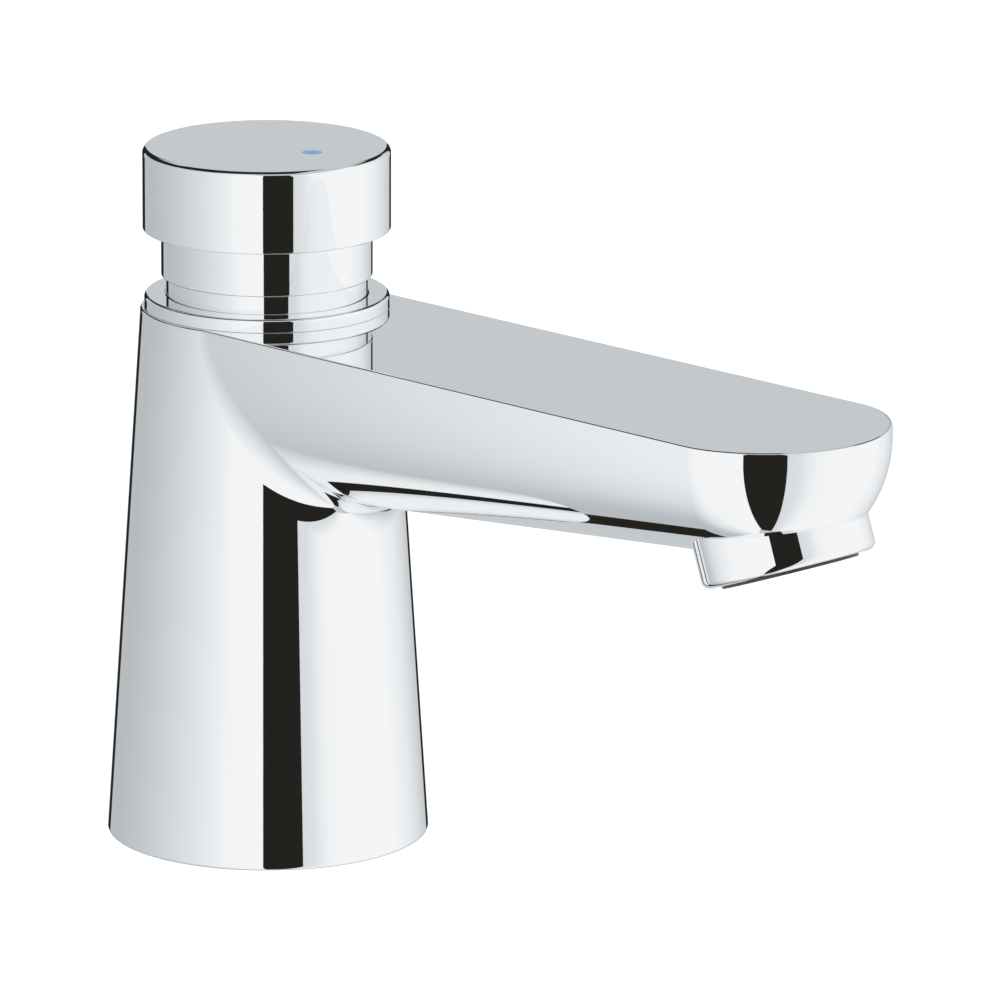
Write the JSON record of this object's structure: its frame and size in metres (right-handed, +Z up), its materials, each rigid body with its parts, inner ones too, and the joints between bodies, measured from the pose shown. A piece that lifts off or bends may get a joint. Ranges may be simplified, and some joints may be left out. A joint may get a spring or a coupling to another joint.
{
  "type": "push timed tap",
  "caption": "Deck-mounted self-closing basin tap: a tapered column with a push cap on top and a flat-topped spout with a tilted outlet. The cap slides down against a spring.",
  "frame": {"origin": "centre of the foot, on the face that stands on the deck", "axes": "+Z up the column, -Y along the spout towards the outlet, +X to the right as seen by someone who stands in front of the spout's tip"},
  "size_m": [0.05, 0.1472, 0.1086],
  "materials": {
    "chrome_plate": "polished mirror plating",
    "brass": "turned",
    "black_rubber": "matte",
    "white_acetal": "moulded acetal",
    "grey_acetal": "moulded acetal",
    "stainless": "drawn stainless",
    "fibre": "pressed fibre",
    "blue_enamel": "enamel"
  },
  "bodies": {
    "tap": {"tap_body": "chrome_plate", "base_gasket": "black_rubber", "inlet_adapter": "brass", "inlet_washer": "fibre", "inlet_strainer": "stainless", "valve_seat": "brass", "lower_seal": "black_rubber", "upper_seal": "black_rubber", "cartridge_body": "white_acetal", "stem_seal": "black_rubber", "gland_bush": "white_acetal", "collar_ring": "chrome_plate", "collar_seal": "black_rubber", "guide_sleeve": "chrome_plate", "return_spring": "stainless", "aerator_housing": "grey_acetal", "aerator_grid": "grey_acetal", "jet_regulator": "white_acetal", "flow_limiter": "white_acetal", "outlet_seal": "black_rubber"},
    "button": {"push_button": "chrome_plate", "indicator_dot": "blue_enamel", "button_insert": "white_acetal", "stem_locknut": "brass", "stem": "stainless", "timing_piston": "brass", "piston_seal": "black_rubber", "timing_screw": "stainless", "spacer_tube": "stainless", "valve_disc": "black_rubber", "disc_holder": "brass", "disc_nut": "stainless"}
  },
  "joints": [
    {"name": "button_press", "type": "slide", "parent": "tap", "child": "button", "axis": [0, 0, -1], "range_m": [0, 0.007], "stiffness_N_per_m": 900, "springref_m": -0.012, "deforming": ["return_spring"]}
  ]
}
